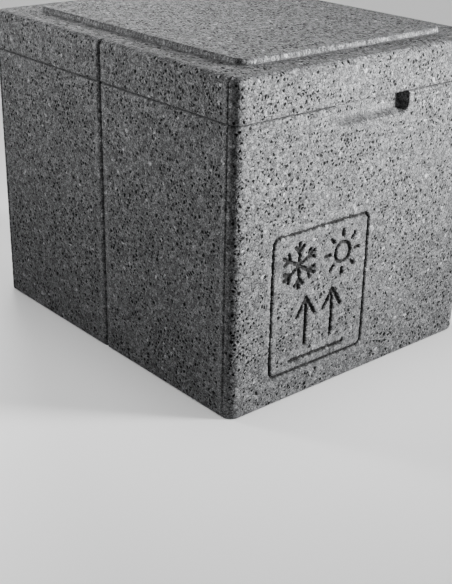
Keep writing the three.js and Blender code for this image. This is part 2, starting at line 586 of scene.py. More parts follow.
class SheetMaker(ABC):
    """Fills a flat or wrapped domain with beads and lifts the result into space.

    Attributes:
        period: The domain's length where it joins up with itself, or None.
        void: The shape of the open voids.
    """

    period: float | None = None
    void = VoidShape()

    def __init__(self, foam: BeadFoam, dents: Sequence[Dent], rng: np.random.Generator) -> None:
        """Keeps what every sheet needs.

        Args:
            foam: The foam's grain.
            dents: What the mould presses into this sheet.
            rng: The source of the foam's chance.
        """
        self.foam = foam
        self.dents = list(dents)
        self.rng = rng

    @abstractmethod
    def lift(self, domain: np.ndarray) -> tuple[np.ndarray, np.ndarray, np.ndarray, np.ndarray]:
        """Carries domain points into space.

        Args:
            domain: Points of the sheet's domain, n by 2.

        Returns:
            Their places in space, the outward normals, the way that dents are pressed
            against, and where the points lie on the dents' own drawing.
        """

    def pressed(self, place: np.ndarray, shift: np.ndarray) -> tuple[np.ndarray, np.ndarray]:
        """Adds up how deep the dents go.

        Args:
            place: Points of the dents' drawing, n by 2.
            shift: Unevenness of each point, about 0.

        Returns:
            The depth at each point, and how much painted shade it gets in a mark's recess, from 0
            to 1.
        """
        sink, mark_shade = np.zeros(len(place)), np.zeros(len(place))
        for dent in self.dents:
            depth = dent.sink(place, shift)
            sink = np.maximum(sink, depth)
            # Marks flagged for it get painted shade in their recess, in step with its depth.
            if dent.recess_shade:
                mark_shade = np.maximum(mark_shade, depth / dent.depth)
        return sink, mark_shade

    def fine_points(self, low: np.ndarray, high: np.ndarray) -> np.ndarray:
        """Scatters the close points that carry the dents.

        Args:
            low: The domain's lowest corner.
            high: Its highest corner.

        Returns:
            The points, n by 2.
        """
        found = [np.zeros((0, 2))]
        for grain in sorted({dent.grain for dent in self.dents}):
            x = np.arange(low[0] + grain / 2, high[0], grain)
            y = np.arange(low[1] + grain, high[1] - 0.6 * grain, grain)
            grid = np.stack(np.meshgrid(x, y), -1).reshape(-1, 2)
            places = self.lift(grid)[3]
            wanted = np.zeros(len(grid), bool)
            for dent in self.dents:
                if dent.grain == grain:
                    wanted |= dent.near(places)
            grid = grid[wanted]
            stray = self.rng.uniform(-FINE_STRAY, FINE_STRAY, grid.shape)
            found.append(grid + stray * grain)
        return np.concatenate(found)

    def beads(
        self, rims: np.ndarray, centres: np.ndarray, low: np.ndarray, high: np.ndarray,
        keep: Callable[[np.ndarray], np.ndarray], edges: Sequence[tuple[int, int]] = (),
    ) -> Sheet:
        """Builds the sheet from its rim points and its bead centres.

        Args:
            rims: Points on the sheet's rims, n by 2.
            centres: Bead centres, n by 2.
            low: The domain's lowest corner.
            high: Its highest corner.
            keep: Says which triangles belong, from their middles.
            edges: Pairs of rim points that must stay joined.

        Returns:
            The finished sheet.
        """
        fine = self.fine_points(low, high)
        fine = fine[keep(fine)]
        clear = centres
        if len(fine):
            clear = centres[clear_of(centres, fine, FINE_CLEARANCE * self.foam.pitch)]
        places = np.concatenate((rims, clear, fine))
        kind = np.repeat([Spot.RIM, Spot.BEAD, Spot.FINE], [len(rims), len(clear), len(fine)])
        net = self.triangulate(places, edges, keep)
        return self.fuse(self.bead_facts(places, kind, centres), net)

    def triangulate(
        self, places: np.ndarray, edges: Sequence[tuple[int, int]],
        keep: Callable[[np.ndarray], np.ndarray],
    ) -> Net:
        """Joins the points into triangles, round the back of a wrapped domain too.

        Args:
            places: All points, n by 2.
            edges: Pairs of points that must stay joined.
            keep: Says which triangles belong, from their middles.

        Returns:
            The triangles.
        """
        spread, base = places, np.arange(len(places))
        if self.period is not None:
            reach = WRAP_REACH * self.foam.pitch
            early = np.flatnonzero(places[:, 0] < reach)
            late = np.flatnonzero(places[:, 0] > self.period - reach)
            turn = np.array((self.period, 0.0))
            spread = np.concatenate((places, places[early] + turn, places[late] - turn))
            base = np.concatenate((base, early, late))
        found = delaunay_2d_cdt([Vector(p) for p in spread], list(edges), [], 0, 1e-7, True)
        source = np.array([ids[0] for ids in found[3]])
        triangles = source[np.array([face for face in found[2] if len(face) == 3])]
        middles = spread[triangles].mean(1)
        inside = keep(middles)
        if self.period is not None:
            inside &= (middles[:, 0] >= 0) & (middles[:, 0] < self.period)
        triangles = triangles[inside]
        a, b, c = spread[triangles[:, 0]], spread[triangles[:, 1]], spread[triangles[:, 2]]
        area = (b[:, 0] - a[:, 0]) * (c[:, 1] - a[:, 1]) - (b[:, 1] - a[:, 1]) * (c[:, 0] - a[:, 0])
        triangles[area < 0] = triangles[area < 0][:, ::-1]
        return Net(spread, base, triangles[np.abs(area) > 1e-9])

    def bead_facts(self, places: np.ndarray, kind: np.ndarray, centres: np.ndarray) -> Spots:
        """Gives each point its bead's tone, its nearness to the border, and its unevenness.

        Args:
            places: All points, n by 2.
            kind: What each stands for.
            centres: Every bead centre, those under the fine points included.

        Returns:
            The points with their facts.
        """
        tone = self.rng.random(len(places))
        border = np.where(kind == Spot.BEAD, 0.0, PLAIN_BORDER)
        shift = tone - 0.5
        fine = np.flatnonzero(kind == Spot.FINE)
        if len(fine) and len(centres) > 1:
            tones = self.rng.random(len(centres))
            tree = tree_of(centres)
            fade = BORDER_FADE * self.foam.pitch
            for index in fine:
                (_, bead, first), (_, _, second) = tree.find_n((*places[index], 0.0), 2)
                tone[index] = tones[bead]
                shift[index] = tones[bead] - 0.5
                border[index] = max(1 - (second - first) / fade, 0.0)
        return Spots(places, kind, tone, border, shift)

    def fuse(self, spots: Spots, net: Net) -> Sheet:
        """Turns the triangles between bead centres into beads with borders and voids.

        Args:
            spots: The points, with their facts.
            net: The triangles between them.

        Returns:
            The finished sheet.
        """
        count = len(spots.places)
        corners = net.base[net.triangles]
        kinds = spots.kind[corners]
        split = (kinds != Spot.FINE).all(1) & (kinds != Spot.RIM).any(1)
        fresh = split.sum()
        junction = np.full(len(corners), -1)
        junction[split] = count + np.arange(fresh)
        start, end = corners.ravel(), np.roll(corners, -1, 1).ravel()
        twin = twin_edges(start, end)
        mine = np.repeat(junction, 3)
        theirs = np.where(twin >= 0, mine[twin], -1)
        both = (mine >= 0) & (theirs >= 0)
        single = (mine >= 0) & (theirs < 0)
        faces = np.concatenate((
            np.stack((start[both], theirs[both], mine[both]), 1),
            np.stack((start[single], end[single], mine[single]), 1),
            corners[~split],
        ))
        places = np.concatenate((spots.places, net.spread[net.triangles[split]].mean(1)))
        border = np.concatenate((spots.border, self.rng.uniform(*WORN_BORDER, fresh)))
        shift = np.concatenate((spots.shift, self.rng.uniform(-0.5, 0.5, fresh)))
        low = -self.foam.crown * border
        low[:count] -= np.where(spots.kind == Spot.BEAD, self.foam.uneven * spots.tone, 0)
        low[:count][spots.kind == Spot.RIM] = 0
        draft = Draft(places, faces, spots.tone[faces[:, 0]], border, low, shift)
        eligible = np.zeros(len(places), bool)
        tight = split & (kinds == Spot.BEAD).all(1) & self.is_small(net.spread[net.triangles])
        eligible[junction[tight]] = True
        eligible[mine[single]] = False
        open_at = self.choose_voids(places, eligible, mine[both], theirs[both])
        self.open_voids(draft, open_at, count)
        return self.raise_draft(draft, spots.kind, open_at, len(places))

    def is_small(self, triangles: np.ndarray) -> np.ndarray:
        """Says which triangles between beads have no long side, as a mask."""
        sides = np.linalg.norm(triangles - np.roll(triangles, 1, 1), axis=2)
        return sides.max(1) < LONGEST_SIDE * self.foam.pitch

    def choose_voids(
        self, places: np.ndarray, eligible: np.ndarray, left: np.ndarray, right: np.ndarray
    ) -> np.ndarray:
        """Picks the junctions that stay open, no two of them side by side.

        Args:
            places: All points with the junctions after them.
            eligible: Which of them may open.
            left: The junctions on one side of each border between two beads.
            right: The junctions on its other side.

        Returns:
            The chosen junctions.
        """
        chance = self.rng.random(len(places))
        # Slow waves, centimetres long, crowd the voids in some patches and thin them in others.
        drift = np.sin(places[:, 0] / 31 + 1.7) * np.sin(places[:, 1] / 23 + places[:, 0] / 57)
        drift += 0.6 * np.sin(places[:, 0] / 11 + 2 * np.sin(places[:, 1] / 17))
        likely = eligible & (chance < self.foam.void_share * (1 + 0.5 * drift))
        drop_neighbours(likely, chance, left, right)
        return np.flatnonzero(likely)

    def open_voids(self, draft: Draft, open_at: np.ndarray, bead_count: int) -> None:
        """Cuts a small star-shaped pit into every open junction.

        Args:
            draft: The beads, which are changed.
            open_at: The junctions to open.
            bead_count: How many of the draft's first points aren't junctions.
        """
        star, places = self.void, draft.places
        is_open = np.zeros(len(places), bool)
        is_open[open_at] = True
        size = star.smallest + star.spread * self.rng.random(len(places)) ** star.skew
        hit = is_open[draft.faces]
        touched = hit.any(1)
        first = hit[touched].argmax(1)
        order = (first[:, None] + np.arange(3)) % 3
        old = np.take_along_axis(draft.faces[touched], order, 1)
        pairs = np.concatenate((old[:, [0, 1]], old[:, [0, 2]]))
        unique, back = np.unique(pairs, axis=0, return_inverse=True)
        pit, far = unique[:, 0], unique[:, 1]
        long_arm = self.rng.random(len(far)) ** star.arm_skew
        arm = star.short_arm + star.arm_spread * long_arm
        arm[far < bead_count] = star.bead_arm
        share = np.clip(arm * size[pit], 0.1, 0.92)
        rim_x, rim_y = (len(places) + back.ravel()).reshape(2, -1)
        gap = places[far] - places[pit]
        if self.period is not None:
            gap[:, 0] = (gap[:, 0] + self.period / 2) % self.period - self.period / 2
        draft.places = np.concatenate((places, places[pit] + gap * share[:, None]))
        border, low = draft.border, draft.low
        draft.border = np.concatenate((border, border[pit] + share * (border[far] - border[pit])))
        draft.low = np.concatenate((low, low[pit] + share * (low[far] - low[pit])))
        draft.low[open_at] -= self.foam.void_depth * size[open_at]
        draft.shift = np.concatenate((draft.shift, draft.shift[pit]))
        draft.faces = np.concatenate((
            draft.faces[~touched],
            np.stack((old[:, 0], rim_x, rim_y), 1),
            np.stack((rim_x, old[:, 1], old[:, 2]), 1),
            np.stack((rim_x, old[:, 2], rim_y), 1),
        ))
        draft.tone = np.concatenate((draft.tone[~touched], np.tile(draft.tone[touched], 3)))

    def raise_draft(
        self, draft: Draft, kind: np.ndarray, open_at: np.ndarray, solid: int
    ) -> Sheet:
        """Lifts the beads into space and presses the dents in.

        Args:
            draft: The beads, whose deep walls are smoothed.
            kind: What the first points stand for.
            open_at: The open junctions.
            solid: How many of the points aren't on the rim of a void.

        Returns:
            The finished sheet.
        """
        points, normals, outward, place = self.lift(draft.places)
        sink, mark_shade = self.pressed(place, draft.shift)
        # Only the wall that leads down to a pocket is smooth. Its level bottom keeps its beads.
        wall = (sink > DEEP_WALL) & (sink < 0.97 * sink.max())
        draft.border[wall] = WALL_BORDER
        draft.low[wall] = 0
        fine_pits = self.choose_fine_pits(draft, kind, sink)
        draft.low[fine_pits] -= FINE_VOID_DEPTH * self.foam.void_depth
        points = points + normals * draft.low[:, None] - outward * sink[:, None]
        void = np.zeros(len(points))
        void[solid:] = self.void.lip_shade
        void[open_at] = 1.0
        void[fine_pits] = 1.0
        return Sheet(points, draft.faces, draft.border, draft.tone, mark_shade, void)

    def choose_fine_pits(self, draft: Draft, kind: np.ndarray, sink: np.ndarray) -> np.ndarray:
        """Picks open voids among the fine points beside the dents.

        Args:
            draft: The beads.
            kind: What the first points stand for.
            sink: How deep each point is pressed.

        Returns:
            The chosen points, no two of them joined.
        """
        border = draft.border
        chance = np.ones(len(border))
        chance[: len(kind)] = self.rng.random(len(kind))
        likely = np.zeros(len(border), bool)
        likely[: len(kind)] = kind == Spot.FINE
        likely &= (border > PLAIN_BORDER) & (sink < 0.25)
        likely &= chance < FINE_VOID_SHARE * self.foam.void_share
        for one, other in ((0, 1), (1, 2), (2, 0)):
            drop_neighbours(likely, chance, draft.faces[:, one], draft.faces[:, other])
        return np.flatnonzero(likely)


class WrappedSheet(SheetMaker):
    """A sheet that runs once around an outline, with a section of its own."""

    def __init__(
        self, outline: RoundedPath, section: Sequence[Corner], foam: BeadFoam,
        rng: np.random.Generator, dents: Sequence[Dent] = (),
    ) -> None:
        """Sets the sheet up.

        Args:
            outline: The outline it follows, seen from above.
            section: Its section: first coordinate outwards from the outline, second up.
            foam: The foam's grain.
            rng: The source of the foam's chance.
            dents: What the mould presses in, placed by distance along the outline and height.
        """
        super().__init__(foam, dents, rng)
        self.outline = outline
        self.section = RoundedPath(section)
        self.period = outline.length
        self.start_rim = self.rim_marks(0.0)
        self.end_rim = self.rim_marks(self.section.length)

    def lift(self, domain: np.ndarray) -> tuple[np.ndarray, np.ndarray, np.ndarray, np.ndarray]:
        """Wraps domain points around the outline.

        Args:
            domain: Distances along the outline and along the section, n by 2.

        Returns:
            Places, normals, the level way out, and distance along the outline with height.
        """
        around = domain[:, 0] % self.outline.length
        foot, outward = self.outline.at(around)
        across, tilt = self.section.at(domain[:, 1])
        points = np.column_stack((foot + outward * across[:, :1], across[:, 1]))
        normals = np.column_stack((outward * tilt[:, :1], tilt[:, 1]))
        level = np.column_stack((outward, np.zeros(len(outward))))
        return points, normals, level, np.column_stack((around, across[:, 1]))

    def rim_marks(self, along_section: float) -> np.ndarray:
        """Spaces the points of one rim, closer together where a dent crosses it.

        Args:
            along_section: Where the rim lies on the section.

        Returns:
            The points' domain coordinates, n by 2.
        """
        count = round(self.outline.length / self.foam.rim_pitch)
        coarse = np.arange(count) * self.outline.length / count
        parts = 4
        fine = np.arange(count * parts) * self.outline.length / (count * parts)
        place = self.lift(np.column_stack((fine, np.full(len(fine), along_section))))[3]
        wanted = np.zeros(len(fine), bool)
        for dent in self.dents:
            wanted |= dent.near(place)
        wanted[::parts] = True
        marks = fine[wanted] if wanted.sum() > len(coarse) else coarse
        return np.column_stack((marks, np.full(len(marks), along_section)))

    def rim_loop(self, at_end: bool) -> np.ndarray:
        """Gives one rim's points in space.

        Args:
            at_end: True for the section's end, False for its start.

        Returns:
            The points in walking order, n by 3.
        """
        marks = self.end_rim if at_end else self.start_rim
        points, _, outward, place = self.lift(marks)
        return points - outward * self.pressed(place, np.zeros(len(points)))[0][:, None]

    def build(self) -> Sheet:
        """Fills the sheet with beads.

        Returns:
            The finished sheet.
        """
        rims = np.concatenate((self.start_rim, self.end_rim))
        high = np.array((self.outline.length, self.section.length))
        centres = self.foam.lattice(high[0], high[1], self.rng)
        sheet = self.beads(rims, centres, np.zeros(2), high, lambda spot: np.ones(len(spot), bool))
        loops = np.concatenate((self.rim_loop(False), self.rim_loop(True)))
        sheet.points[: len(loops)] = loops
        return sheet


def inside_loop(places: np.ndarray, loop: np.ndarray) -> np.ndarray:
    """Tests points against a closed loop by counting crossings.

    Args:
        places: Points to test, n by 2.
        loop: The loop's corners in order.

    Returns:
        A mask of the points inside.
    """
    inside = np.zeros(len(places), bool)
    x, y = places[:, 0], places[:, 1]
    for (x1, y1), (x2, y2) in zip(loop, np.roll(loop, -1, 0)):
        if y1 != y2:
            crossing = (y1 > y) != (y2 > y)
            inside ^= crossing & (x < (x2 - x1) * (y - y1) / (y2 - y1) + x1)
    return inside


class FlatSheet(SheetMaker):
    """A level sheet between the rims of its neighbours."""

    def __init__(
        self, outer: np.ndarray, side: Side, foam: BeadFoam, rng: np.random.Generator,
        inner: np.ndarray | None = None,
    ) -> None:
        """Sets the sheet up.

        Args:
            outer: The rim around it, n by 3.
            side: The way it faces.
            foam: The foam's grain.
            rng: The source of the foam's chance.
            inner: The rim of the hole in it, if it has one.
        """
        super().__init__(foam, (), rng)
        self.loops = [outer] if inner is None else [outer, inner]
        self.side = side
        self.level = float(outer[:, 2].mean())

    def lift(self, domain: np.ndarray) -> tuple[np.ndarray, np.ndarray, np.ndarray, np.ndarray]:
        """Puts domain points at the sheet's level, facing up or down.

        Args:
            domain: Points seen from above, n by 2.

        Returns:
            Places, normals, the same normals for the dents, and the points themselves.
        """
        count = len(domain)
        normals = np.tile((0.0, 0.0, self.side.value), (count, 1))
        return np.column_stack((domain, np.full(count, self.level))), normals, normals, domain

    def covers(self, places: np.ndarray) -> np.ndarray:
        """Says which places lie on the sheet.

        Args:
            places: Points seen from above, n by 2.

        Returns:
            A mask.
        """
        inside = inside_loop(places, self.loops[0][:, :2])
        for hole in self.loops[1:]:
            inside &= ~inside_loop(places, hole[:, :2])
        return inside

    def build(self) -> Sheet:
        """Fills the sheet with beads.

        Returns:
            The finished sheet.
        """
        rims = np.concatenate(self.loops)
        low, high = rims[:, :2].min(0), rims[:, :2].max(0)
        centres = self.foam.lattice(*(high - low), self.rng) + low
        centres = centres[self.covers(centres)]
        centres = centres[clear_of(centres, rims[:, :2], RIM_CLEARANCE * self.foam.pitch)]
        edges: list[tuple[int, int]] = []
        for loop in self.loops:
            first, count = len(edges), len(loop)
            edges += [(first + step, first + (step + 1) % count) for step in range(count)]
        sheet = self.beads(rims[:, :2], centres, low, high, self.covers, edges)
        sheet.points[: len(rims)] = rims
        if self.side is Side.DOWN:
            sheet.faces = sheet.faces[:, ::-1]
        return sheet


def weld(name: str, sheets: Sequence[Sheet]) -> bpy.types.Object:
    """Joins sheets into one closed skin.

    Args:
        name: The piece's name.
        sheets: Its sheets, whose rims share points.

    Returns:
        The piece, with its beads' tones, borders and voids kept as attributes.
    """
    starts = np.cumsum([0] + [len(sheet.points) for sheet in sheets])
    faces = np.concatenate([sheet.faces + start for sheet, start in zip(sheets, starts)])
    where = np.concatenate([sheet.points for sheet in sheets])
    steps = np.round(where * WELD_STEPS).astype(np.int64)
    _, first, back = np.unique(steps, axis=0, return_index=True, return_inverse=True)
    corners = back.ravel()[faces]
    whole = (corners != np.roll(corners, 1, 1)).all(1)
    corners = corners[whole]
    mesh = bpy.data.meshes.new(name)
    mesh.vertices.add(len(first))
    mesh.vertices.foreach_set("co", (where[first] * METRES).astype(np.float32).ravel())
    mesh.loops.add(corners.size)
    mesh.loops.foreach_set("vertex_index", corners.astype(np.int32).ravel())
    mesh.polygons.add(len(corners))
    mesh.polygons.foreach_set("loop_start", np.arange(0, corners.size, 3, dtype=np.int32))
    mesh.update(calc_edges=True)
    mesh.polygons.foreach_set("use_smooth", np.ones(len(corners), bool))
    for label, values, domain, kept in (
        ("bead_edge", [sheet.border for sheet in sheets], "POINT", first),
        ("mark_shade", [sheet.mark_shade for sheet in sheets], "POINT", first),
        ("bead_tone", [sheet.tone for sheet in sheets], "FACE", whole),
        ("bead_void", [sheet.void for sheet in sheets], "POINT", first),
    ):
        layer = mesh.attributes.new(label, "FLOAT", domain)
        layer.data.foreach_set("value", np.concatenate(values)[kept].astype(np.float32))
    if mesh.validate():
        LOG.warning("%s had faults, which Blender mended", name)
    mesh.update()
    piece = bpy.data.objects.new(name, mesh)
    bpy.context.collection.objects.link(piece)
    return piece


# The handling mark ----------------------------------------------------------------------


def swing(centre: Pair, turn: float, reach: float) -> Pair:
    """Finds the point that lies a distance from another, at a turn in radians."""
    return centre[0] + reach * math.cos(turn), centre[1] + reach * math.sin(turn)


@dataclass(frozen=True)
class Snowflake:
    """Keep cold: six arms with a pair of barbs on each.

    Attributes:
        centre: Its middle.
        radius: Length of an arm.
        fork: Where an arm's barbs start, as a share of it.
        barb: Length of a barb, as a share of the arm's.
    """

    centre: Pair
    radius: float
    fork: float = 0.6
    barb: float = 0.34

    def lines(self) -> list[Line]:
        """Draws the sign.

        Returns:
            The start and end of each stroke.
        """
        found: list[Line] = []
        for arm in range(6):
            turn = math.pi / 2 + arm * math.pi / 3
            found.append((self.centre, swing(self.centre, turn, self.radius)))
            fork = swing(self.centre, turn, self.fork * self.radius)
            for side in (-math.pi / 4, math.pi / 4):
                found.append((fork, swing(fork, turn + side, self.barb * self.radius)))
        return found


@dataclass(frozen=True)
class Sun:
    """Keep out of heat: a ring with eight rays.

    Attributes:
        centre: Its middle.
        radius: How far out the rays end.
        disc: Outside radius of the ring, as a share of that.
        ray: Where the rays start, as a share of it.
    """

    centre: Pair
    radius: float
    disc: float = 0.52
    ray: float = 0.76

    def lines(self) -> list[Line]:
        """Draws the rays.

        Returns:
            The start and end of each stroke.
        """
        turns = [step * math.pi / 4 for step in range(8)]
        return [(swing(self.centre, turn, self.ray * self.radius),
                 swing(self.centre, turn, self.radius)) for turn in turns]


@dataclass(frozen=True)
class UpArrows:
    """This way up: two arrows standing on a bar.

    Attributes:
        foot: Middle of the bar.
        height: From the bar to the tips.
        spread: From one arrow to the other.
        head: Height of an arrow's head, as a share of the height.
    """

    foot: Pair
    height: float
    spread: float
    head: float = 0.3

    def lines(self) -> list[Line]:
        """Draws the sign.

        Returns:
            The start and end of each stroke.
        """
        x, low = self.foot
        head = self.head * self.height
        top = low + self.height
        found: list[Line] = [((x - 1.9 * head, low), (x + 1.9 * head, low))]
        for middle in (x - self.spread / 2, x + self.spread / 2):
            found.append(((middle, low + 0.22 * self.height), (middle, top)))
            for side in (-0.62, 0.62):
                found.append(((middle, top), (middle + side * head, top - head)))
        return found


@dataclass(frozen=True)
class HandlingMark:
    """The framed field of handling signs on the front.

    Attributes:
        centre: Its middle on the front, across and up.
        size: Width and height of the frame's outside.
        corner: Radius of the frame's outside corners.
        line: Width of the frame's line.
        stroke: Width of the signs' strokes.
        margin: Clear space between the frame and the signs.
        depth: How deep everything is pressed.
    """

    centre: Pair = (-57.0, 97.5)
    size: Pair = (124.0, 141.0)
    corner: float = 9.0
    line: float = 2.6
    stroke: float = 3.4
    margin: float = 12.0
    depth: float = 2.4

    def dents(self, front: float) -> list[Dent]:
        """Lays the mark out on the tub's side.

        Args:
            front: Distance along the outline to the middle of the front.

        Returns:
            Everything the mould presses in.
        """
        middle, up = front + self.centre[0], self.centre[1]
        width, height = self.size
        radius = (width - 3 * self.margin) / 4
        across, above = radius + self.margin / 2, height / 2 - self.margin - radius
        snow = Snowflake((middle - across, up + above), radius)
        sun = Sun((middle + across, up + above), radius)
        arrows = UpArrows((middle, up - height / 2 + self.margin),
                          height - 3 * self.margin - 2 * radius, radius + self.margin)
        found: list[Dent] = [
            Frame(self.line, self.depth, recess_shade=True, centre=(middle, up),
                  corner=self.corner - self.line / 2,
                  size=(width - self.line, height - self.line)),
            Ring(self.stroke, self.depth, recess_shade=True, centre=sun.centre,
                 radius=sun.disc * radius - self.stroke / 2),
        ]
        for start, end in snow.lines() + sun.lines() + arrows.lines():
            found.append(Stroke(self.stroke, self.depth, recess_shade=True, start=start, end=end))
        return found


# Finishes ---------------------------------------------------------------------------------


class NodeBench:
    """Lays out the nodes of one material."""

    def __init__(self, name: str) -> None:
        """Starts a material.

        Args:
            name: Its name.
        """
        self.material = bpy.data.materials.new(name)
        self.material.use_nodes = True
        self.tree = self.material.node_tree
        self.tree.nodes.clear()
        self.shader = self.tree.nodes.new("ShaderNodeBsdfPrincipled")
        output = self.tree.nodes.new("ShaderNodeOutputMaterial")
        self.tree.links.new(self.shader.outputs["BSDF"], output.inputs["Surface"])

    def feed(self, target: bpy.types.NodeSocket, value: object) -> None:
        """Links an output to a socket, or sets the socket to a plain value.

        Args:
            target: The socket.
            value: Another node's output, a number or a colour.
        """
        if isinstance(value, bpy.types.NodeSocket):
            self.tree.links.new(value, target)
        else:
            target.default_value = value

    def attribute(self, name: str) -> bpy.types.NodeSocket:
        """Reads a number that the mesh carries.

        Args:
            name: The attribute's name.

        Returns:
            The number.
        """
        node = self.tree.nodes.new("ShaderNodeAttribute")
        node.attribute_name = name
        return node.outputs["Fac"]

    def noise(self, scale: float, detail: float = 2.0, rough: float = 0.5) -> bpy.types.NodeSocket:
        """Adds a noise through the solid, at its real size.

        Args:
            scale: How many features there are to the metre.
            detail: How many finer layers it has.
            rough: How strong those are.

        Returns:
            The noise, from 0 to 1.
        """
        place = self.tree.nodes.new("ShaderNodeTexCoord")
        node = self.tree.nodes.new("ShaderNodeTexNoise")
        self.feed(node.inputs["Vector"], place.outputs["Object"])
        node.inputs["Scale"].default_value = scale
        node.inputs["Detail"].default_value = detail
        node.inputs["Roughness"].default_value = rough
        return node.outputs["Fac"]

    def fit(
        self, value: bpy.types.NodeSocket, low: float, high: float, to_low: float, to_high: float
    ) -> bpy.types.NodeSocket:
        """Carries a range of numbers over to another, and holds it at both ends.

        Args:
            value: The number.
            low: Where the range starts.
            high: Where it ends.
            to_low: What low becomes.
            to_high: What high becomes.

        Returns:
            The new number.
        """
        node = self.tree.nodes.new("ShaderNodeMapRange")
        self.feed(node.inputs["Value"], value)
        for socket, number in zip(("From Min", "From Max", "To Min", "To Max"),
                                  (low, high, to_low, to_high)):
            node.inputs[socket].default_value = number
        return node.outputs["Result"]

    def sum(self, kind: str, first: object, second: object) -> bpy.types.NodeSocket:
        """Works out one sum.

        Args:
            kind: The sum's name in Blender, such as MULTIPLY.
            first: Its first number.
            second: Its second number.

        Returns:
            The result.
        """
        node = self.tree.nodes.new("ShaderNodeMath")
        node.operation = kind
        self.feed(node.inputs[0], first)
        self.feed(node.inputs[1], second)
        return node.outputs[0]

    def blend(
        self, share: object, first: object, second: object, kind: str = "MIX"
    ) -> bpy.types.NodeSocket:
        """Mixes two colours.

        Args:
            share: How much of the second.
            first: The first colour.
            second: The second colour.
            kind: The way they are mixed.

        Returns:
            The mixed colour.
        """
        node = self.tree.nodes.new("ShaderNodeMix")
        node.data_type = "RGBA"
        node.blend_type = kind
        self.feed(node.inputs[0], share)
        self.feed(node.inputs[6], first)
        self.feed(node.inputs[7], second)
        return node.outputs[2]

    def bump(self, height: object, depth: float, onto: object = None) -> bpy.types.NodeSocket:
        """Adds relief too fine for the mesh.

        Args:
            height: The relief, from 0 to 1.
            depth: How many metres 1 stands for.
            onto: Relief it is laid over.

        Returns:
            The bent normal.
        """
        node = self.tree.nodes.new("ShaderNodeBump")
        node.inputs["Distance"].default_value = depth
        self.feed(node.inputs["Height"], height)
        if onto is not None:
            self.feed(node.inputs["Normal"], onto)
        return node.outputs["Normal"]


@dataclass(frozen=True)
class FusedBeadFinish:
    """Steam-fused beads of dyed foam, each its own shade, with a satin skin.

    Attributes:
        name: The material's name.
        dark: The darkest bead's colour.
        light: The lightest bead's colour.
        seam: How much light the sunken borders keep, as painted shade in the creases between beads.
        pit: How much light an open void keeps, as painted shade for its depth.
        recess_shade: How much light the deepest part of a mark's recess keeps, as painted shade.
        painted_glint: Share of beads brightened as painted glints on their facets.
        fine_grain: Specks to the metre.
        coarse_grain: Blotches to the metre, within a bead or two.
        cloud: Broad clouds of shade to the metre.
        sheen: How strongly the skin mirrors at all.
        relief: Depth of the finest relief, in metres.
    """

    name: str
    dark: Colour = (0.038, 0.0385, 0.0395, 1.0)
    light: Colour = (0.088, 0.089, 0.091, 1.0)
    seam: float = 0.32
    pit: float = 0.035
    recess_shade: float = 0.1
    painted_glint: float = 0.014
    fine_grain: float = 800.0
    coarse_grain: float = 430.0
    cloud: float = 14.0
    sheen: float = 0.12
    relief: float = 0.00035

    def make(self) -> bpy.types.Material:
        """Lays out the material.

        Returns:
            The material.
        """
        bench = NodeBench(self.name)
        tone, edge = bench.attribute("bead_tone"), bench.attribute("bead_edge")
        pit = bench.attribute("bead_void")
        colour = bench.blend(tone, self.dark, self.light)
        # Fine grain of the foam, its bright end pushed high as painted glints on bead facets.
        grain_and_glints = bench.fit(bench.noise(self.fine_grain, 2, 0.6), 0.33, 0.67, 0.25, 1.85)
        blotches = bench.fit(bench.noise(self.coarse_grain, 2, 0.6), 0.3, 0.7, 0.6, 1.45)
        shade = bench.sum("MULTIPLY", grain_and_glints, blotches)
        cloud = bench.fit(bench.noise(self.cloud, 2), 0.3, 0.7, 0.93, 1.07)
        # Painted shade in the sunken borders between beads.
        seam = bench.fit(edge, 0.5, 1.0, 1.0, self.seam)
        # Painted highlights: a few beads are brightened as if their facets glint.
        painted_glint = bench.fit(tone, 1 - self.painted_glint, 1 - 0.7 * self.painted_glint, 1.0, 1.7)
        # Painted shade deep inside the open voids, fading out towards their rims.
        keep = bench.fit(pit, 0.25, 0.52, 1.0, self.pit)
        # Painted shade inside the handling mark's recesses, darker the deeper they go.
        mark_shade_gain = bench.fit(bench.attribute("mark_shade"), 0.12, 0.6, 1.0, self.recess_shade)
        for part in (cloud, seam, painted_glint, keep, mark_shade_gain):
            shade = bench.sum("MULTIPLY", shade, part)
        lit = bench.blend(1.0, colour, shade, "MULTIPLY")
        bench.feed(bench.shader.inputs["Base Color"], lit)
        satin = bench.fit(tone, 0, 1, 0.8, 0.68)
        scuffs = bench.fit(bench.noise(420, 2), 0.3, 0.7, 0.0, 0.16)
        bench.feed(bench.shader.inputs["Roughness"], bench.sum("ADD", satin, scuffs))
        bench.feed(bench.shader.inputs["Specular IOR Level"], self.sheen)
        crown = bench.fit(edge, 0.55, 1.0, 1.0, 0.0)
        relief = bench.bump(crown, self.relief)
        relief = bench.bump(bench.noise(self.fine_grain, 3, 0.6), self.relief, relief)
        bench.feed(bench.shader.inputs["Normal"], relief)
        return bench.material


@dataclass(frozen=True)
class StudioFloorFinish:
    """Matt pale studio floor, very slightly mottled.

    Attributes:
        name: The material's name.
        pale: Its palest colour.
        dull: Its dullest colour.
    """

    name: str = "studio_floor"
    pale: Colour = (0.84, 0.84, 0.84, 1.0)
    dull: Colour = (0.80, 0.80, 0.80, 1.0)

    def make(self) -> bpy.types.Material:
        """Lays out the material.

        Returns:
            The material.
        """
        bench = NodeBench(self.name)
        colour = bench.blend(bench.noise(3, 2), self.pale, self.dull)
        bench.feed(bench.shader.inputs["Base Color"], colour)
        bench.feed(bench.shader.inputs["Roughness"], 0.9)
        return bench.material


# The two mouldings ------------------------------------------------------------------------


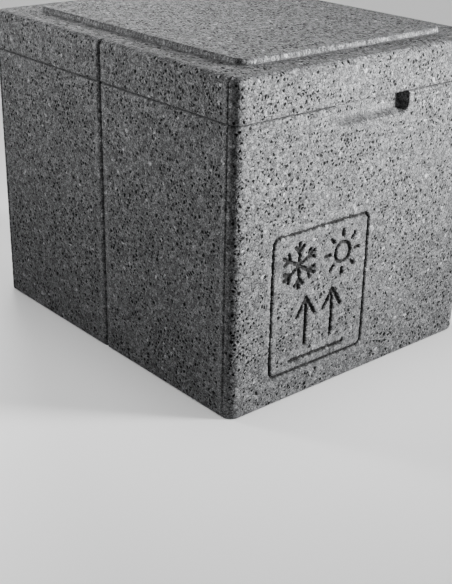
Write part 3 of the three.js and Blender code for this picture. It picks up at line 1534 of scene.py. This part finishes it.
@dataclass
class FoamMoulding(ABC):
    """What the tub and the lid share.

    Attributes:
        width: Outside size across.
        length: Outside size from front to back.
        left_corner: Radius of the outside corners at the left.
        right_corner: Radius of the outside corners at the right.
        mouth: Width, length and corner radius of the hollow.
        lower_edge: Radius of the edges where the tub and the lid meet.
        groove_width: Width of the groove down the middle of each long side.
        groove_depth: How deep that groove goes.
        parting_width: Width of the mould's parting line beside each corner.
        parting_depth: How deep that line goes.
        skin: The grain of the outside.
        lining: The grain of hidden faces.
        seed: Start of this moulding's chance.
    """

    width: float = 330.0
    length: float = 390.0
    left_corner: float = 11.0
    right_corner: float = 25.0
    mouth: tuple[float, float, float] = (270.0, 330.0, 18.0)
    lower_edge: float = 2.5
    groove_width: float = 2.2
    groove_depth: float = 3.2
    parting_width: float = 1.4
    parting_depth: float = 1.7
    skin: BeadFoam = field(default_factory=BeadFoam)
    lining: BeadFoam = field(default_factory=lambda: BeadFoam(pitch=4.5))
    seed: int = 7

    def __post_init__(self) -> None:
        """Prepares what every sheet of the moulding uses."""
        self.rng = np.random.default_rng(self.seed)
        self.outside = rectangle(self.width, self.length, self.left_corner, self.right_corner)
        across, along, radius = self.mouth
        self.opening = rectangle(across, along, radius, radius)
        self.front = self.outside.nearest(0, -self.length / 2)
        self.back = self.outside.nearest(0, self.length / 2)

    @abstractmethod
    def sheets(self) -> list[Sheet]:
        """Builds the moulding's skin, sheet by sheet.

        Returns:
            The sheets, whose rims share points.
        """

    def side_lines(self, low: float, high: float) -> list[Dent]:
        """Lays out the groove down each long side and the mould's parting lines.

        Args:
            low: Height the lines start from.
            high: Height they end at.

        Returns:
            The lines.
        """
        found: list[Dent] = []
        for x in (-self.width / 2, self.width / 2):
            at = self.outside.nearest(x, 0)
            found.append(Stroke(self.groove_width, self.groove_depth, start=(at, low),
                                end=(at, high), lip=1.0, lip_width=1.9, slope=0.6, grain=0.65))
        for y in (-1, 1):
            for x, radius in ((-1, self.left_corner), (1, self.right_corner)):
                at = self.outside.nearest(x * self.width / 2, y * (self.length / 2 - radius))
                found.append(Stroke(self.parting_width, self.parting_depth, start=(at, low),
                                    end=(at, high), slope=0.6, grain=0.6, ragged=0.35))
        return found

    def band(
        self, outline: RoundedPath, section: Sequence[Corner], foam: BeadFoam,
        dents: Sequence[Dent] = (),
    ) -> WrappedSheet:
        """Starts a sheet that runs around an outline.

        Args:
            outline: The outline.
            section: The sheet's section, outwards and up.
            foam: Its grain.
            dents: What the mould presses in.

        Returns:
            The sheet, not yet built.
        """
        return WrappedSheet(outline, section, foam, self.rng, dents)

    def flat(
        self, outer: np.ndarray, side: Side, foam: BeadFoam, inner: np.ndarray | None = None
    ) -> Sheet:
        """Builds a level sheet between rims.

        Args:
            outer: The rim around it.
            side: The way it faces.
            foam: Its grain.
            inner: The rim of the hole in it, if it has one.

        Returns:
            The finished sheet.
        """
        return FlatSheet(outer, side, foam, self.rng, inner).build()

    def make(self, name: str, node: str, slot: str, finish: FusedBeadFinish) -> bpy.types.Object:
        """Builds the moulding and puts it on its body.

        Args:
            name: The piece's name.
            node: The CAD node and the body it stands for.
            slot: Not used.
            finish: Its finish.

        Returns:
            The piece.
        """
        piece = weld(name, self.sheets())
        piece.data.materials.append(finish.make())
        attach(piece, node)
        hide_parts(node)
        LOG.info("%s: %d faces", name, len(piece.data.polygons))
        return piece


@dataclass
class Tub(FoamMoulding):
    """The deep tub, open at the top, with a finger pocket front and back.

    Attributes:
        rim: Height of the rim.
        floor: Height of the floor inside.
        foot_edge: Radius of the lower outside edge.
        step: How wide and how deep the step around the mouth is.
        pocket: Width, length and corner radius of the stacking pocket underneath.
        pocket_depth: How deep that pocket goes.
        grip: Width, height below the rim and depth of a finger pocket.
        mouth_edge: Radius of the edges around the mouth and its step.
        pocket_edge: Radius of the stacking pocket's edges.
        floor_fillet: Radius where the walls inside meet the floor.
        mark: The handling signs on the front.
    """

    rim: float = 275.0
    floor: float = 30.0
    foot_edge: float = 1.6
    step: Pair = (10.0, 12.0)
    pocket: tuple[float, float, float] = (265.0, 325.0, 15.5)
    pocket_depth: float = 6.5
    grip: tuple[float, float, float] = (96.0, 20.0, 10.0)
    mouth_edge: float = 1.5
    pocket_edge: float = 1.2
    floor_fillet: float = 8.0
    mark: HandlingMark = field(default_factory=HandlingMark)

    def finger_pockets(self) -> list[Dent]:
        """Lays out the finger pockets under the rim, front and back.

        Returns:
            The two pockets.
        """
        across, high, deep = self.grip
        return [
            Pocket(0.0, deep, slope=5.5, centre=(at, self.rim), size=(across - 5, 2 * high - 5),
                   corner=6.0, grain=0.7, ragged=0.1)
            for at in (self.front, self.back)
        ]

    def sheets(self) -> list[Sheet]:
        """Builds the tub's skin, sheet by sheet.

        Returns:
            The sheets.
        """
        edge, rim, bend = self.lower_edge, self.rim, self.mouth_edge
        step_in, step_down = self.step
        under = self.band(rectangle(*self.pocket, self.pocket[2]), [
            Corner(-edge, self.pocket_depth), Corner(0, self.pocket_depth, self.pocket_edge),
            Corner(0, 0, self.pocket_edge), Corner(edge, 0)], self.lining)
        dents = self.side_lines(-5, rim + 5) + self.finger_pockets() + self.mark.dents(self.front)
        outside = self.band(self.outside, [
            Corner(-self.foot_edge, 0), Corner(0, 0, self.foot_edge),
            Corner(0, rim, edge), Corner(-edge, rim)], self.skin, dents)
        inside = self.band(self.opening, [
            Corner(step_in + bend, rim), Corner(step_in, rim, bend),
            Corner(step_in, rim - step_down, bend), Corner(0, rim - step_down, bend),
            Corner(0, self.floor, self.floor_fillet),
            Corner(-self.floor_fillet, self.floor)], self.lining)
        found = [band.build() for band in (outside, inside, under)]
        found.append(self.flat(under.rim_loop(False), Side.DOWN, self.lining))
        found.append(self.flat(
            outside.rim_loop(False), Side.DOWN, self.lining, under.rim_loop(True)))
        found.append(self.flat(outside.rim_loop(True), Side.UP, self.skin, inside.rim_loop(False)))
        found.append(self.flat(inside.rim_loop(True), Side.UP, self.lining))
        return found


@dataclass
class Lid(FoamMoulding):
    """The lid: a cap that closes flush, a plug below it and a stacking pad on top.

    Attributes:
        seed: Start of the lid's own chance.
        plug_foot: Height of the plug's underside with the lid on.
        ledge: Height of the step above it.
        seat: Height of the face that rests on the tub's rim.
        cap: Height of the margin around the pad.
        top: Height of the pad.
        top_edge: Radius of the upper outside edge.
        pad: Width, length and corner radius of the pad.
        slack: Gap all round between the plug and the mouth.
        step_in: How wide the mouth's step is.
        plug_edge: Radius of the plug's lower edge.
    """

    seed: int = 11
    plug_foot: float = 253.0
    ledge: float = 263.6
    seat: float = 275.3
    cap: float = 315.0
    top: float = 320.0
    top_edge: float = 6.0
    pad: tuple[float, float, float] = (262.0, 322.0, 14.0)
    slack: float = 0.6
    step_in: float = 10.0
    plug_edge: float = 3.0

    def sheets(self) -> list[Sheet]:
        """Builds the lid's skin, sheet by sheet.

        Returns:
            The sheets.
        """
        edge, seat, cap, soft = self.lower_edge, self.seat, self.cap, self.plug_edge
        shoulder = self.step_in - self.slack
        plug = self.band(self.opening, [
            Corner(-self.slack - soft, self.plug_foot), Corner(-self.slack, self.plug_foot, soft),
            Corner(-self.slack, self.ledge, 1.2), Corner(shoulder, self.ledge, 1.5),
            Corner(shoulder, seat, 1.2), Corner(self.step_in + self.slack, seat)], self.lining)
        outside = self.band(self.outside, [
            Corner(-edge, seat), Corner(0, seat, edge), Corner(0, cap, self.top_edge),
            Corner(-self.top_edge, cap)], self.skin, self.side_lines(seat - 5, cap + 5))
        pad = self.band(rectangle(*self.pad, self.pad[2]), [
            Corner(1, cap), Corner(0, cap, 1), Corner(0, self.top, 2),
            Corner(-2, self.top)], self.skin)
        found = [band.build() for band in (plug, outside, pad)]
        found.append(self.flat(plug.rim_loop(False), Side.DOWN, self.lining))
        found.append(self.flat(
            outside.rim_loop(False), Side.DOWN, self.lining, plug.rim_loop(True)))
        found.append(self.flat(outside.rim_loop(True), Side.UP, self.skin, pad.rim_loop(False)))
        found.append(self.flat(pad.rim_loop(True), Side.UP, self.skin))
        return found


# The studio -------------------------------------------------------------------------------


@dataclass(frozen=True)
class Softbox:
    """One soft light, in metres and watts.

    Attributes:
        name: Its name.
        place: Where it hangs.
        aim: The point it looks at.
        size: Its width and height.
        power: Its power.
        spread: How wide it shines, in degrees.
    """

    name: str
    place: tuple[float, float, float]
    aim: tuple[float, float, float]
    size: Pair
    power: float
    spread: float = 180.0

    def put(self) -> bpy.types.Object:
        """Hangs the light.

        Returns:
            The light.
        """
        lamp = bpy.data.lights.new(self.name, "AREA")
        lamp.shape = "RECTANGLE"
        lamp.size, lamp.size_y = self.size
        lamp.energy = self.power
        lamp.spread = math.radians(self.spread)
        light = bpy.data.objects.new(self.name, lamp)
        light.location = self.place
        way = Vector(self.aim) - Vector(self.place)
        light.rotation_euler = way.to_track_quat("-Z", "Y").to_euler()
        bpy.context.collection.objects.link(light)
        return light


@dataclass(frozen=True)
class Studio:
    """Floor, lights and camera.

    Attributes:
        reach: Half the floor's size.
        level: How far from the box the floor stays level.
        rise: How fast it curves up from there.
        yaw: How far the camera looks to the right of straight ahead, in degrees.
        dip: How far it looks down.
        roll: How far it leans.
        lens: Its focal length in millimetres.
        sensor: Width of its sensor in millimetres.
        stand: The camera's place from the box's near lower corner.
        ambient: Strength of the light from all round.
        sky: Colour of that light.
        lights: The lights.
    """

    reach: float = 6.0
    level: float = 3.0
    rise: float = 0.16
    yaw: float = 40.87
    dip: float = 24.19
    roll: float = 1.15
    lens: float = 67.9
    sensor: float = 36.0
    stand: tuple[float, float, float] = (-0.57124912, -0.65163748, 0.51956372)
    ambient: float = 0.06
    sky: Colour = (0.97, 0.98, 1.0, 1.0)
    lights: tuple[Softbox, ...] = (
        Softbox("key", (1.4, -1.5, 0.55), (0.03, -0.2, 0.42), (0.6, 0.5), 18.5, 29.0),
        Softbox("fill", (-1.05, 1.75, 0.62), (-0.18, 0.0, 0.46), (0.5, 0.4), 3.9, 30.0),
        Softbox("back", (0.9, 1.7, 0.8), (0.1, 0.2, 0.3), (0.8, 0.7), 4.0, 40.0),
        Softbox("overhead", (0.0, 0.0, 3.2), (0.0, 0.0, 0.0), (6.0, 6.0), 95.0, 50.0),
    )

    def lay_floor(self) -> bpy.types.Object:
        """Lays the floor, which curves up far behind the box.

        Returns:
            The floor.
        """
        steps = 48
        line = np.linspace(-self.reach, self.reach, steps + 1)
        rise = self.rise * np.clip(np.abs(line) - self.level, 0, None) ** 2
        points = [(x, y, z + rise[i]) for y, z in zip(line, rise) for i, x in enumerate(line)]
        row = steps + 1
        faces = [(a, a + 1, a + row + 1, a + row)
                 for start in range(0, steps * row, row) for a in range(start, start + steps)]
        mesh = bpy.data.meshes.new("floor")
        mesh.from_pydata(points, [], faces)
        mesh.polygons.foreach_set("use_smooth", np.ones(len(faces), bool))
        mesh.materials.append(StudioFloorFinish().make())
        floor = bpy.data.objects.new("floor", mesh)
        bpy.context.collection.objects.link(floor)
        return floor

    def light_up(self) -> None:
        """Hangs the lights and sets the light from all round."""
        for light in self.lights:
            light.put()
        world = bpy.data.worlds.new("studio")
        world.use_nodes = True
        sky = world.node_tree.nodes["Background"]
        sky.inputs["Color"].default_value = self.sky
        sky.inputs["Strength"].default_value = self.ambient
        bpy.context.scene.world = world

    def place_camera(self, corner: Vector) -> bpy.types.Object:
        """Sets the camera up.

        Args:
            corner: The box's near lower corner, which the camera's place is told from.

        Returns:
            The camera.
        """
        yaw, dip, roll = (math.radians(a) for a in (self.yaw, self.dip, self.roll))
        ahead = Vector((math.sin(yaw) * math.cos(dip), math.cos(yaw) * math.cos(dip),
                        -math.sin(dip)))
        level = Vector((math.cos(yaw), -math.sin(yaw), 0.0))
        upright = level.cross(ahead)
        right = level * math.cos(roll) + upright * math.sin(roll)
        above = right.cross(ahead)
        lens = bpy.data.cameras.new("studio_camera")
        lens.lens = self.lens
        lens.sensor_width = self.sensor
        lens.clip_start = 0.05
        camera = bpy.data.objects.new("studio_camera", lens)
        turn = Matrix((right, above, -ahead)).transposed().to_4x4()
        camera.matrix_world = Matrix.Translation(corner + Vector(self.stand)) @ turn
        bpy.context.collection.objects.link(camera)
        bpy.context.scene.camera = camera
        return camera


def main() -> None:
    """Builds the box, then the studio around it."""
    logging.basicConfig(level=logging.INFO, format="%(message)s")
    Tub().make("tub_foam_shell", "tub", "tub_foam", FusedBeadFinish("tub_bead_foam"))
    Lid().make("lid_foam_shell", "lid", "lid_foam", FusedBeadFinish("lid_bead_foam"))
    low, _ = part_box("tub")
    studio = Studio()
    studio.lay_floor()
    studio.light_up()
    studio.place_camera(low)


if __name__ == "__main__":
    main()
